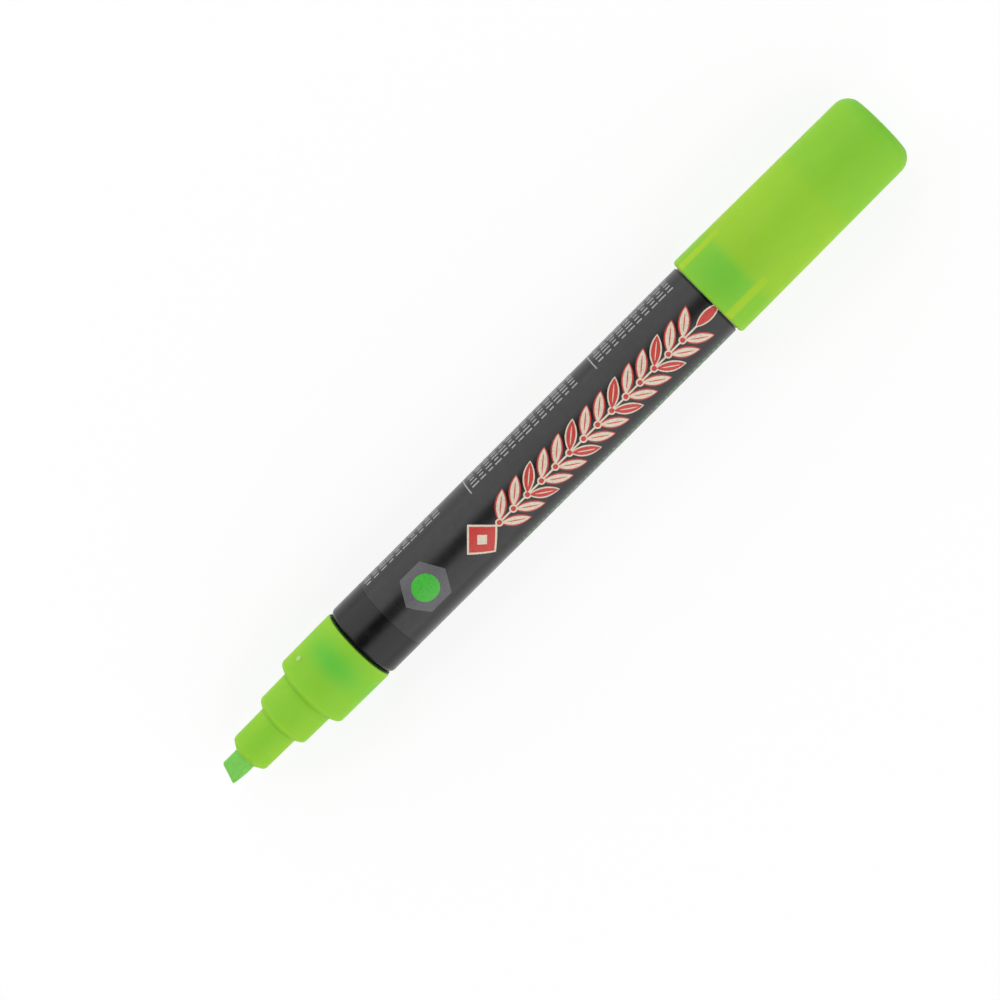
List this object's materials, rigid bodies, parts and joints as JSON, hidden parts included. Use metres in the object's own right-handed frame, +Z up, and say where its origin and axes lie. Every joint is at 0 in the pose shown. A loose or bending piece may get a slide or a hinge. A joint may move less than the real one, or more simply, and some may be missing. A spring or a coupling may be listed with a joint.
{
  "type": "liquid chalk marker",
  "caption": "Round valve-action liquid chalk marker lying on its side, with a stepped front section, a chisel nib, a labelled barrel and its cap posted on the tail.",
  "frame": {"origin": "on the table, below the middle of the marker's length, with its axis level above", "axes": "+X along the pen from nib to cap, +Z up from the table, the nib's wide face up"},
  "size_m": [0.1608, 0.0168, 0.0168],
  "materials": {
    "barrel_plastic": "moulded black plastic, satin gloss",
    "label_film": "printed charcoal film, gloss",
    "green_plastic": "translucent yellow-green moulding, satin",
    "nib_fibre": "green ink-soaked fibre, matte",
    "valve_plastic": "natural white moulding",
    "seal_rubber": "black rubber",
    "steel": "bright steel",
    "liner_plastic": "natural white, slightly translucent"
  },
  "bodies": {
    "barrel": {"barrel_tube": "barrel_plastic", "label_sleeve": "label_film", "tail_plug": "green_plastic", "nib_holder": "green_plastic", "valve_seat": "valve_plastic", "valve_cage": "valve_plastic", "valve_spring": "steel"},
    "nib": {"writing_nib": "nib_fibre"},
    "valve": {"valve_stem": "valve_plastic", "valve_seal": "seal_rubber"},
    "ball": {"mixing_ball": "steel"},
    "cap": {"cap_shell": "green_plastic", "cap_liner": "liner_plastic"}
  },
  "joints": [
    {"name": "nib_press", "type": "slide", "parent": "barrel", "child": "nib", "axis": [1, 0, 0], "range_m": [0, 0.002], "stiffness_N_per_m": 400, "springref_m": -0.002},
    {"name": "valve_lift", "type": "slide", "parent": "barrel", "child": "valve", "axis": [1, 0, 0], "range_m": [0, 0.002], "deforming": ["valve_spring"]},
    {"name": "ball_roll", "type": "slide", "parent": "barrel", "child": "ball", "axis": [1, 0, 0], "range_m": [-0.03, 0.0366]},
    {"name": "cap_pull", "type": "slide", "parent": "barrel", "child": "cap", "axis": [1, 0, 0], "range_m": [0, 0.025]}
  ],
  "couplings": [
    {"joint": "valve_lift", "follows": "nib_press", "ratio": 1}
  ]
}
